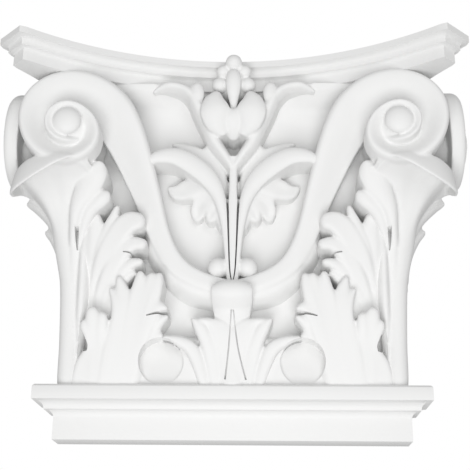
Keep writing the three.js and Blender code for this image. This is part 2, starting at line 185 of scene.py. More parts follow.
@dataclass(frozen=True)
class Leaf:
    """A leaf sheet cut into lobes, drawn as depth over a grid of across and height.

    Each lobe is a line of stations of across, height, half width and depth.
    Its gap at a point is the least distance from a station less the half width
    there, and the leaf is where the smooth least of all the gaps is below
    zero. Depths are blended by how near each lobe is, sunk along the lines
    midway between two lobes, and rounded over at the edge. The pull, join and
    share are the distances over which stations, outlines and depths blend.
    """

    lobes: Sequence[Rows]
    crown: float = 1.0
    crease: float = 0.25
    edge: float = 2.6
    cell: float = 0.6
    margin: float = 2.0
    pull: float = 1.2
    join: float = 0.5
    share: float = 2.5
    shoulder: float = 4.0
    valley: float = 2.6
    far: float = 99.0

    def shell(self) -> Shell:
        """The closed sheet, solid back into the bell.

        Returns:
            A skin of the cells that the leaf covers, front and back.
        """
        counts = [len(rows) for rows in self.lobes]
        places = [np.linspace(0, count - 1, 10 * count) for count in counts]
        lines = [through(rows, place) for rows, place in zip(self.lobes, places)]
        every = np.concatenate(lines)
        low = (every[:, :2] - every[:, 2:3]).min(axis=0) - self.margin
        high = (every[:, :2] + every[:, 2:3]).max(axis=0) + self.margin
        spans = [np.arange(low[k], high[k], self.cell) for k in (0, 1)]
        x, z = np.meshgrid(*spans, indexing="ij")
        gaps, depths = [], []
        for line in lines:
            away = np.hypot(x[..., None] - line[:, 0], z[..., None] - line[:, 1]) - line[:, 2]
            near = away.min(axis=-1)
            weight = np.exp((near[..., None] - away) / self.pull)
            gaps.append(near)
            depths.append((weight * line[:, 3]).sum(axis=-1) / weight.sum(axis=-1))
        gap, depth = np.stack(gaps), np.stack(depths)
        least, second = np.partition(np.concatenate([gap, 0 * gap[:1] + self.far]), 1, axis=0)[:2]
        outline = least - self.join * np.log(np.exp((least - gap) / self.join).sum(axis=0))
        share = np.exp((least - gap) / self.share)
        domed = depth + self.crown * (1 - np.clip(1 + gap / self.shoulder, 0, 1) ** 2)
        body = (share * domed).sum(axis=0) / share.sum(axis=0)
        body -= self.crease * np.exp(-(((second - least) / self.valley) ** 2))
        inside = np.clip(-outline / self.edge, 0, 1)
        body -= self.edge * (1 - np.sqrt(1 - (1 - inside) ** 2))
        slope = np.stack(np.gradient(outline, self.cell))
        steep = np.maximum(np.linalg.norm(slope, axis=0), 0.1)
        shift = np.clip(outline, 0, 2 * self.cell) * slope / steep
        x, z = x - shift[0], z - shift[1]
        front = np.stack([x, np.where(outline < 0, body, INSIDE), z], axis=-1).reshape(-1, 3)
        back = np.stack([x, 0 * x + INSIDE, z], axis=-1).reshape(-1, 3)
        held = outline < 0
        cells = held[:-1, :-1] | held[1:, :-1] | held[:-1, 1:] | held[1:, 1:]
        number = np.arange(x.size).reshape(x.shape)
        corners = (number[:-1, :-1], number[1:, :-1], number[1:, 1:], number[:-1, 1:])
        quads = np.stack([corner[cells] for corner in corners], axis=-1)
        both = np.concatenate([quads, quads[:, ::-1] + x.size])
        return Shell(np.concatenate([front, back]), both, np.zeros((0, 3), int))


@dataclass(frozen=True)
class Trail:
    """A stem, lobe or leaf swept along stations of across, depth, height and half width.

    The section is a low dome: its height is the crown, less on a narrow
    place, times one minus a power of the share of the half width. With no
    thickness it runs solid back into the bell, and with one it is a sheet of
    that thickness.
    """

    stations: Rows
    crown: float = 2.2
    thick: float | None = None
    side: Triple | None = None
    full_half: float = 4.0
    least_half: float = 0.2
    power: float = 2.4
    fine: int = 9

    def shell(self) -> Shell:
        """The closed sweep.

        Returns:
            A skin with one ring for each step along the stations.
        """
        steps = self.fine * (len(self.stations) - 1) + 1
        rows = through(self.stations, np.linspace(0, len(self.stations) - 1, steps))
        spine, half = rows[:, :3], np.maximum(rows[:, 3], self.least_half)
        along = unit(np.gradient(spine, axis=0))
        across = unit(np.stack([-along[:, 2], 0 * along[:, 0], along[:, 0]], axis=-1))
        if self.side is not None:
            across = np.broadcast_to(unit(np.array(self.side, float)), spine.shape)
        out = unit(np.cross(across, along))
        s = np.cos(np.linspace(0, np.pi, 21))
        rise = self.crown * np.minimum(1, half / self.full_half)[:, None]
        dome = rise * (1 - np.abs(s) ** self.power)
        wide = half[:, None] * s
        front = spine[:, None] + wide[..., None] * across[:, None] + dome[..., None] * out[:, None]
        back = front[:, ::-4].copy()
        if self.thick is None:
            back[..., 1] = INSIDE
        else:
            back -= self.thick * out[:, None]
        return loft(np.concatenate([front, back], axis=1))


@dataclass(frozen=True)
class Bead:
    """A rounded boss: a ball stretched to three radii."""

    middle: Triple
    radii: Triple

    def shell(self) -> Shell:
        """The closed boss.

        Returns:
            A skin of rings of latitude.
        """
        turn = np.linspace(0, 2 * np.pi, 40, endpoint=False)
        rise = np.linspace(-np.pi / 2, np.pi / 2, 24)[1:-1, None]
        level = np.cos(rise)
        ball = np.stack([level * np.cos(turn), level * np.sin(turn), np.sin(rise) + 0 * turn], axis=-1)
        return loft(ball * np.array(self.radii) + np.array(self.middle))


@dataclass(frozen=True)
class Volute:
    """A ribbon that rises as a stem and winds into a spiral round a raised eye.

    The rim and the inner edge are radii at each eighth of a turn, and the
    depth of the rim is given at each quarter turn. The path runs midway
    between the two edges. Its section goes from the plain profile on the stem
    to the dished one on the spiral, both given at the marks across it.
    """

    middle: Pair = (103.5, 189.3)
    rims: Series = (
        (46.5, 43, 40.7, 38.4, 31.8, 28.6, 27, 26, 19.5, 15.2, 14.8, 15, 14.6, 14.3, 14, 13, 11.5)
    )
    inners: Series = (18, 14, 14.2, 14.4, 14, 13.8, 13.5, 13, 10.5, 9, 9, 9, 9, 8.8, 8.5, 8, 7.5)
    depths: Series = (61, 71, 73, 73, 74, 75.5, 76.5, 74, 60)
    plain: Series = (-1.4, -0.1, 0.7, 1.0, 1.0, 1.0, 0.9, 0.0, -1.4)
    dished: Series = (-3.4, -1.0, 0.0, -0.3, -1.4, -3.4, -6.4, -8.8, -9.4)
    marks: Series = (-1, -0.8, -0.4, 0, 0.3, 0.55, 0.75, 0.9, 1)
    dished_width: float = 20.0
    dished_back: float = 5.0
    plain_stations: int = 4
    blend_stations: int = 5
    ease: int = 8

    def shell(self, stem: Rows, start: float = 0.0, thick: float = 13.0) -> Shell:
        """The closed ribbon.

        Args:
            stem: Stations of across, depth, height and half width before the spiral.
            start: Turn at which the spiral begins.
            thick: Thickness of the ribbon's edge.

        Returns:
            A skin with a plain section on the stem and a dished one on the spiral.
        """
        turn = np.arange(start, (len(self.rims) - 1) / 8 + 0.001, 1 / 24)
        rim = through([[r] for r in self.rims], 8 * turn)[:, 0]
        inner = through([[r] for r in self.inners], 8 * turn)[:, 0]
        mean = (rim + inner) / 2
        angle = 2 * np.pi * turn
        depth = through([[d] for d in self.depths], 4 * turn)[:, 0]
        spiral = np.stack(
            [
                self.middle[0] - mean * np.cos(angle),
                depth,
                self.middle[1] + mean * np.sin(angle),
                (rim - inner) / 2,
                np.minimum(1, (rim - inner) / self.dished_width),
            ],
            axis=-1,
        )
        rows = spiral
        if len(stem):
            past = np.arange(len(stem)) - self.plain_stations
            blend = np.maximum(0, past / self.blend_stations)
            rows = np.concatenate([np.column_stack([np.asarray(stem, float), blend]), spiral])
        last = len(rows) - 1
        rows = eased(through(rows, np.linspace(0, last, 5 * last + 1)), self.ease)
        along = unit(np.gradient(rows[:, :3], axis=0) * np.array([1.0, 0.0, 1.0]))
        across = np.stack([-along[:, 2], 0 * along[:, 0], along[:, 0]], axis=-1)
        s = np.linspace(1, -1, 25)
        flat, dish = (np.interp(s, self.marks, profile[::-1]) for profile in (self.plain, self.dished))
        mix = rows[:, 4:5]
        height = flat * (1 - mix) + dish * mix
        front = rows[:, None, :3] + (rows[:, 3:4] * s)[..., None] * across[:, None]
        front[..., 1] += height
        back = front[:, ::-6].copy()
        back[..., 1] = rows[:, 1:2] - thick - self.dished_back * mix
        return loft(np.concatenate([front, back], axis=1))


@dataclass(frozen=True)
class Flare:
    """The corner leaf: a stem that opens like a trumpet and droops at its lip.

    It is drawn as half planes turned about an upright axis on the corner's
    diagonal. In each half plane the underside climbs from the stem to a bend,
    and the lip hangs below the bend by an amount that is most on the diagonal.
    """

    turns: Series = (-92, -75, -60, -45, -30, -15, 0, 15, 30, 45, 60, 75, 92)
    lip_reach: Series = (24, 30, 33, 34, 35.5, 40, 45.5, 47, 47, 46.5, 43.5, 37, 27)
    lip_height: Series = (150, 157, 159, 157, 153, 148.5, 146.5, 149, 154, 160.5, 166, 163.5, 154)
    bend_inset: Series = (2, 2, 2.5, 3, 3.5, 4, 4.5, 5.5, 6.5, 5, 3, 2, 2)
    bend_height: Series = (152, 160, 163, 164, 164, 164, 164.5, 168, 170, 170, 169, 165, 156)
    axis: tuple[Series, Series] = ((31, 100, 140, 170), (87, 90, 95, 97))
    foot: float = 31.0
    stem_radius: float = 6.6
    stem_lean: float = 1.8
    full_bend: float = 42.0
    least_depth: float = 0.6

    def shell(self) -> Shell:
        """The closed leaf.

        Returns:
            A skin of one outline for each turn about the axis.
        """
        turn = np.linspace(self.turns[0], self.turns[-1], 93)
        place = np.interp(turn, self.turns, np.arange(len(self.turns)))
        reach, low, inset, top = (
            through([[number] for number in row], place)
            for row in (self.lip_reach, self.lip_height, self.bend_inset, self.bend_height)
        )
        bend = reach - inset
        wide = bend / self.full_bend
        flat = 0 * reach
        angle = np.radians(turn)[:, None]
        stem = self.stem_radius - self.stem_lean * np.sin(angle)
        outline = [
            (flat, flat + self.foot),
            (stem, flat + self.foot),
            (stem + 0.1, flat + 60),
            (stem + 0.8, flat + 95),
            (stem + 3.8, flat + 121),
            (8 + 8 * wide, top - 26),
            (7 + 18.5 * wide, top - 14),
            (bend - 6 * wide, top - 7),
            (bend, top - 4.5),
            (reach - 2, np.minimum(low + 2, top - 3)),
            (reach - 0.6, low),
            (reach + 0.4, low + 1),
            (reach - 0.35 * inset, low + 0.55 * (top - low)),
            (bend, top - 0.8),
            (bend - 5 * wide, top),
            (bend - 16 * wide, top - 1),
            (flat, top - 4),
        ]
        radius = np.concatenate([r for r, _ in outline], axis=1)
        height = np.concatenate([z for _, z in outline], axis=1)
        fine = np.linspace(0, len(outline) - 1, 6 * (len(outline) - 1) + 1)
        radius, height = (through(part.T, fine).T for part in (radius, height))
        radius = np.maximum(radius, 0.0)
        middle = np.interp(height, *self.axis)
        out = middle + radius * np.cos(angle)
        aside = -radius * np.sin(angle)
        across = (out * ROOT_TWO + CORNER) / 2 + aside / ROOT_TWO
        depth = np.maximum(across - CORNER - aside * ROOT_TWO, self.least_depth)
        return loft(np.stack([across, depth, height], axis=-1))


def around_corner(shift: float) -> Move:
    """The move that carries front carving round to the side of the capital.

    Args:
        shift: How far the carving stands out from the corner's mirror line.

    Returns:
        A function that swaps across and depth about the corner.
    """

    def move(points: Array) -> Array:
        """Swap across and depth, and stop short of the wall."""
        x, depth, height = points.T
        return np.stack([depth + CORNER + shift, np.maximum(x - CORNER, 1.0), height], axis=-1)

    return move


def mirror(points: Array) -> Array:
    """Carving points with across turned about the middle, for the other half."""
    return points * np.array([-1.0, 1.0, 1.0])


def on_half(shells: Sequence[Shell], half: Half) -> list[Shell]:
    """The right half's skins, mirrored where the left half is wanted."""
    return [moved(shell, mirror) for shell in shells] if half is Half.LEFT else list(shells)


def to_mesh(name: str, shells: Sequence[Shell]) -> bpy.types.Mesh:
    """Put skins together in one mesh.

    Args:
        name: Name of the mesh.
        shells: Closed skins in carving points.

    Returns:
        The mesh, in metres in the part's frame.
    """
    points, faces, base = [], [], 0
    for shell in shells:
        points.append(shell.points)
        faces += (shell.quads + base).tolist() + (shell.triangles + base).tolist()
        base += len(shell.points)
    mesh = bpy.data.meshes.new(name)
    mesh.from_pydata(metres(np.concatenate(points)).tolist(), [], faces)
    mesh.update()
    return mesh


def settle(obj: Object) -> None:
    """Work an object's modifiers into its mesh.

    Args:
        obj: The object to settle.
    """
    graph = bpy.context.evaluated_depsgraph_get()
    mesh = bpy.data.meshes.new_from_object(obj.evaluated_get(graph))
    old = obj.data
    obj.modifiers.clear()
    obj.data = mesh
    bpy.data.meshes.remove(old)


def fused(
    name: str, shells: Sequence[Shell], grain: float, budget: int, holes: Sequence[Shell] = ()
) -> Object:
    """Fuse overlapping skins into one soft-edged carving.

    Args:
        name: Name of the piece.
        shells: Closed skins that overlap.
        grain: Size of the cells that the skins are fused on, in millimetres.
        budget: Most triangles that the piece may have.
        holes: Closed skins to cut out of the piece.

    Returns:
        The piece, linked to the scene.
    """
    obj = bpy.data.objects.new(name, to_mesh(name, shells))
    bpy.context.scene.collection.objects.link(obj)
    cells = obj.modifiers.new("fuse", "REMESH")
    cells.mode = "VOXEL"
    cells.voxel_size = grain * MILLIMETRE
    soft = obj.modifiers.new("soften", "SMOOTH")
    soft.factor = 0.5
    soft.iterations = 5
    settle(obj)
    if holes:
        cutter = bpy.data.objects.new(name + "_holes", to_mesh(name + "_holes", holes))
        bpy.context.scene.collection.objects.link(cutter)
        finish_faces(cutter, MOULDED_CREASE)
        cut = obj.modifiers.new("holes", "BOOLEAN")
        cut.operation = "DIFFERENCE"
        cut.solver = "MANIFOLD"
        cut.object = cutter
        settle(obj)
        bpy.data.meshes.remove(cutter.data)
    share = budget / (2 * len(obj.data.polygons))
    if share < 1:
        thin = obj.modifiers.new("thin", "DECIMATE")
        thin.ratio = share
        settle(obj)
    obj.data.name = name
    finish_faces(obj, CARVED_CREASE)
    return obj


def finish_faces(obj: Object, crease: float) -> None:
    """Turn faces outward and shade them smooth except at hard creases.

    Args:
        obj: The piece.
        crease: Angle in degrees above which an edge stays sharp.
    """
    work = bmesh.new()
    work.from_mesh(obj.data)
    bmesh.ops.recalc_face_normals(work, faces=work.faces)
    work.to_mesh(obj.data)
    work.free()
    obj.data.polygons.foreach_set("use_smooth", np.ones(len(obj.data.polygons), bool))
    obj.data.set_sharp_from_angle(angle=math.radians(crease))


def stacked(name: str, rings: Array, bevel: float) -> Object:
    """A moulding of level rings, with flat ends and softened edges.

    Args:
        name: Name of the piece.
        rings: Rings of carving points from the bottom up.
        bevel: Width of the softened edges in millimetres.

    Returns:
        The piece, linked to the scene.
    """
    count, around, _ = rings.shape
    sides = loft(rings).quads.tolist()
    ends = [list(range(around)), list(range((count - 1) * around, count * around))]
    mesh = bpy.data.meshes.new(name)
    mesh.from_pydata(metres(rings.reshape(-1, 3)).tolist(), [], sides + ends)
    obj = bpy.data.objects.new(name, mesh)
    bpy.context.scene.collection.objects.link(obj)
    finish_faces(obj, MOULDED_CREASE)
    if bevel > 0:
        edge = obj.modifiers.new("edges", "BEVEL")
        edge.width = bevel * MILLIMETRE
        edge.segments = 2
        edge.limit_method = "ANGLE"
        edge.angle_limit = math.radians(EDGE_ANGLE)
        settle(obj)
        obj.data.name = name
        finish_faces(obj, MOULDED_CREASE)
    return obj


def cove(start: Pair, stop: Pair, count: int = 9) -> Array:
    """A hollow quarter round of a moulding's profile.

    It leaves the start level and meets the stop upright, as a quarter of an
    ellipse.

    Args:
        start: Step and height of the upper end.
        stop: Step and height of the lower end.
        count: Number of points.

    Returns:
        Points as (step, height).
    """
    turn = np.linspace(0, np.pi / 2, count)
    step = start[0] + (stop[0] - start[0]) * np.sin(turn)
    height = stop[1] + (start[1] - stop[1]) * np.cos(turn)
    return np.stack([step, height], axis=-1)


class SubAssembly:
    """A part of the capital that rides on its one body."""

    def dress(self, obj: Object, material: bpy.types.Material) -> None:
        """Give a piece its finish and tie it to the frame.

        Args:
            obj: The piece.
            material: Its material.
        """
        obj.data.materials.clear()
        obj.data.materials.append(material)
        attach(obj, BODY)
        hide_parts(NODE)


@dataclass
class Foot(SubAssembly):
    """The plain foot that sits on the pilaster, and the band above it.

    The outline at each height is an oblong on the wall, grown by the step of
    the profile there. A cove rises from the foot to a quirk, and another from
    the quirk to the band.
    """

    half: float = 110.0
    depth: float = 20.0
    foot_height: float = 13.4
    quirk_step: Pair = (4.6, 5.4)
    quirk_height: Pair = (17.8, 18.6)
    band_step: float = 12.0
    band_bottom: float = 23.0
    band_edge: float = 30.9
    band_top: float = 32.1
    chamfer: float = 1.2
    bevel: float = 0.5

    def profile(self) -> Array:
        """Profile from the bottom up.

        Returns:
            Points as (step outwards or inwards, height).
        """
        (inner, outer), (bottom, top) = self.quirk_step, self.quirk_height
        low = cove((inner, bottom), (0.0, self.foot_height))[::-1]
        high = cove((self.band_step, self.band_bottom), (outer, top))[::-1]
        ends = [[self.band_step, self.band_edge], [self.band_step - self.chamfer, self.band_top]]
        return np.concatenate([[[0.0, 0.0]], low, [[outer, bottom]], high, ends])

    def build(self) -> Object:
        """The foot and band as one moulding.

        Returns:
            The piece.
        """
        step, height = self.profile().T
        half, depth = self.half + step, self.depth + step
        wall = np.zeros_like(step)
        rings = [(-half, wall), (half, wall), (half, depth), (-half, depth)]
        points = [np.stack([x, d, height], axis=-1) for x, d in rings]
        return stacked("capital_foot", np.stack(points, axis=1), self.bevel)


@dataclass
class Abacus(SubAssembly):
    """The top slab, with hollow sides, cut corners and three flat bands."""

    mid_depth: float = 48.0
    horn: Pair = (132.5, 95.3)
    mirror_line: float = 55.5
    bottom: float = 227.4
    steps: Pair = (4.5, 7.5)
    lower_cove: Pair = (234.5, 236.2)
    upper_cove: Pair = (239.0, 241.6)

    def profile(self) -> Array:
        """Profile from the bottom up.

        Returns:
            Points as (step inwards, height).
        """
        mid, low = self.steps
        first = cove((mid, self.lower_cove[1]), (low, self.lower_cove[0]))[::-1]
        second = cove((0.0, self.upper_cove[1]), (mid, self.upper_cove[0]))[::-1]
        return np.concatenate([[[low, self.bottom]], first, second, [[0.0, HEIGHT]]])

    def ring(self, step: float, height: float) -> Array:
        """The slab's outline at one level.

        The front is an arc through the horns, each horn is cut across, and
        the sides are the front mirrored about the corner.

        Args:
            step: How far the outline is drawn in.
            height: Height above the foot.

        Returns:
            Carving points round the outline.
        """
        sag = self.horn[1] - self.mid_depth
        radius = (self.horn[0] ** 2 + sag**2) / (2 * sag)
        centre = self.mid_depth + radius
        far = radius + step
        cut = sum(self.horn) - step * ROOT_TWO
        x = np.linspace(0, self.horn[0], 400)
        depth = centre - np.sqrt(far**2 - x**2)
        meet = x[np.argmin(np.abs(x + depth - cut))]
        front_x = np.linspace(0, meet, 40)
        front = np.stack([front_x, centre - np.sqrt(far**2 - front_x**2)], axis=-1)
        side = front[::-1, ::-1] + np.array([self.mirror_line, -self.mirror_line])
        level = side[:, 1] > 0
        last, first = side[level][-1], side[~level][0]
        share = last[1] / (last[1] - first[1])
        wall = last + (first - last) * share
        right = np.concatenate([front, side[level], [wall]])
        number = np.arange(len(right))
        even = np.linspace(0, number[-1], 72)
        right = np.stack([np.interp(even, number, right[:, k]) for k in (0, 1)], axis=-1)
        right[-1, 1] = 0.0
        left = right[:0:-1] * np.array([-1.0, 1.0])
        outline = np.concatenate([left, right])
        return np.column_stack([outline, np.full(len(outline), height)])

    def build(self) -> Object:
        """The slab as one moulding."""
        rings = np.stack([self.ring(step, height) for step, height in self.profile()])
        return stacked("capital_abacus", rings, 0.0)


@dataclass
class Bell(SubAssembly):
    """The plain body behind the carving, flaring out under the abacus.

    Each level has a height, a half width, a depth at the middle and a hollow.
    The front comes forward from the middle by the hollow times the square of
    across over the hollow's half width, up to a limit. A pier has a height, a
    reach along the corner's diagonal and a half width.
    """

    levels: Rows = (
        (28.1, 101, 22, 0), (60, 101, 22.5, 0), (120, 101, 24, 1), (170, 101, 28, 7), (200, 104, 32, 6),
        (212, 107, 33.5, 8), (219, 111, 35, 16), (224, 113.5, 36, 22), (228.5, 115, 36.5, 24),
    )
    cut: float = 12.0
    hollow_half: float = 60.0
    hollow_limit: float = 0.65
    pier_back: float = 86.0
    grain: float = 1.4
    budget: int = 60000
    pier: Rows = (
        (29.1, 91, 4), (120, 94, 7), (150, 101, 13), (172, 110, 20), (200, 112, 24), (228.5, 114, 27),
    )

    def body(self) -> Shell:
        """The bell itself.

        Returns:
            A skin of level outlines with cut corners.
        """
        rows = through(self.levels, np.linspace(0, len(self.levels) - 1, 43))
        height, half, depth, hollow = (rows[:, k : k + 1] for k in range(4))
        share = np.linspace(-1, 1, 41)[None, :]
        x = share * (half - self.cut)
        front = depth + hollow * np.minimum(self.hollow_limit, (x / self.hollow_half) ** 2)
        wall = 0 * half
        across = np.concatenate([-half, -half, x, half, half], axis=1)
        left, right = front[:, :1] - self.cut, front[:, -1:] - self.cut
        deep = np.concatenate([wall, left, front, right, wall], axis=1)
        return loft(np.stack([across, deep, np.broadcast_to(height, across.shape)], axis=-1))

    def pier_shell(self) -> Shell:
        """The slanting post behind the corner leaf and volute.

        Returns:
            A skin of level outlines along the corner's diagonal.
        """
        rows = through(self.pier, np.linspace(0, len(self.pier) - 1, 31))
        height, out, half = rows.T
        back = self.pier_back + 0 * out
        corners = []
        for reach, side in ((back, -1), (back, 1), (out, 1), (out, -1)):
            x = (reach * ROOT_TWO + CORNER) / 2 + side * half / ROOT_TWO
            depth = x - CORNER - side * half * ROOT_TWO
            corners.append(np.stack([x, np.maximum(depth, 1.0), height], axis=-1))
        return loft(np.stack(corners, axis=1))

    def build(self) -> Object:
        """The bell with a post at each corner."""
        post = self.pier_shell()
        return fused("capital_bell", [self.body(), post, moved(post, mirror)], self.grain, self.budget)


@dataclass
class CornerCarving(SubAssembly):
    """A front volute with its stem, the side volute and the corner leaf below.

    The bank fills the ribbon's back, the ridge the corner leaf's stem, and the
    welt is the soft roll where that stem meets the upper leaves.
    """

    grain: float = 0.8
    budget: int = 190000
    eye_radii: Triple = (9, 5, 9)
    boss_radii: Triple = (15, 13, 15)
    front_depths: Pair = (74.5, 60)
    side_depths: Pair = (71, 58)
    side_shift: float = -2.0
    side_start: float = 0.17
    side_thick: float = 5.0
    slit_depth: float = 26.0
    volute: Volute = Volute()
    ribbon: Rows = (
        (-3, 36, 91.6, 5.4), (4, 36, 92, 5.6), (22, 37, 95.6, 6.4), (30.2, 37.5, 100.9, 6.2),
        (37.8, 38.5, 108.6, 6.2), (45.3, 40, 118.8, 6.8), (49.4, 42, 131.5, 7.2), (54.5, 46.5, 153, 8.2),
        (60, 52.5, 170, 10.8),
    )
    bank: Rows = (
        (-3, 22.3, 88, 9), (4, 22.3, 88, 9), (23.6, 22.3, 91.9, 9), (32.8, 22.6, 97.8, 8.6),
        (40.8, 23, 106, 8), (48.8, 23.5, 116.9, 7), (53.2, 24, 130.3, 5),
    )
    lobes: tuple[Rows, ...] = (
        ((102.5, 36, 120, 2), (98.5, 49, 140, 5), (91.5, 54.5, 153, 8), (86.5, 57.5, 161, 7.6),
         (84, 58, 166, 5), (83, 57.5, 168, 2)),
        ((100, 33, 116, 2), (91.5, 47, 137.5, 4.2), (83.5, 51.5, 145.6, 5), (79.5, 51.5, 148.3, 4.2),
         (77.8, 51, 149.2, 2)),
    )
    side_lobes: tuple[Rows, ...] = (
        ((112, 20, 122, 4), (121, 18, 140, 6), (132, 16, 152, 5.5), (139, 15, 157, 2.5)),
        ((110, 16, 100, 4), (114, 15, 118, 6), (120, 14, 131, 5.5), (125.5, 13, 137.5, 2.5)),
    )
    flare: Flare = Flare()
    ridge: Rows = ((101, 21, 34, 6.8), (101, 22.5, 90, 7), (101, 30.5, 125, 6.2), (99, 38.5, 140, 4))
    welt: Rows = (
        (96.6, 19.5, 34, 3.2), (96.6, 22.3, 60, 3), (96, 23.6, 74, 3.8), (95.4, 25.4, 85, 4.4),
        (95, 27.2, 95, 4.6), (95, 28.4, 105, 4.4), (95.4, 30.6, 116, 3.6), (96.5, 34, 126, 2.2),
    )
    slit: Rows = ((99, 60, 117, 0.4), (99, 60, 123, 1), (98.6, 60, 130, 1.3))

    def eyes(self, depths: Pair) -> list[Shell]:
        """A volute's raised eye and the boss behind it.

        Args:
            depths: Depth of the middle of the eye and of the boss.

        Returns:
            Two closed skins.
        """
        x, z = self.volute.middle
        pairs = zip(depths, (self.eye_radii, self.boss_radii))
        return [Bead((x, depth, z), radii).shell() for depth, radii in pairs]

    def shells(self) -> list[Shell]:
        """Every skin of the right corner.

        Returns:
            Closed skins that overlap.
        """
        front = [self.volute.shell(self.ribbon), self.flare.shell(), Trail(self.ridge, crown=8).shell()]
        front += [Trail(self.bank, crown=13).shell(), Trail(self.welt, crown=8).shell()]
        front += self.eyes(self.front_depths)
        front += [Trail(rows, crown=3).shell() for rows in self.lobes]
        front += [Trail(rows, crown=2, thick=5, side=(0, 1, 0)).shell() for rows in self.side_lobes]
        beside = [self.volute.shell([], self.side_start, self.side_thick)] + self.eyes(self.side_depths)
        turned = around_corner(self.side_shift)
        return front + [moved(shell, turned) for shell in beside]

    def build(self, half: Half) -> Object:
        """One corner's carving.

        Args:
            half: The half that the corner is on.

        Returns:
            The piece.
        """
        shells = on_half(self.shells(), half)
        holes = on_half([Trail(self.slit, crown=0, thick=self.slit_depth).shell()], half)
        return fused(f"capital_corner_{half.value}", shells, self.grain, self.budget, holes)


@dataclass(frozen=True)
class Eye:
    """The round sinking between a lower leaf and the middle leaf.

    Its floor leans back towards the top by the tilt.
    """

    across: float = 43.6
    height: float = 46.3
    radius: float = 13.9
    floor: float = 25.0
    tilt: float = 1.8
    front: float = 70.0

    def shell(self) -> Shell:
        """The space to cut out, a round bar that runs out of the front.

        Returns:
            A closed skin.
        """
        turn = np.linspace(0, 2 * np.pi, 96, endpoint=False)
        depth = np.stack([self.floor - self.tilt * np.sin(turn), 0 * turn + self.front])
        across = self.across + self.radius * np.cos(turn)
        height = self.height + self.radius * np.sin(turn)
        return loft(np.stack(np.broadcast_arrays(across, depth, height), axis=-1))


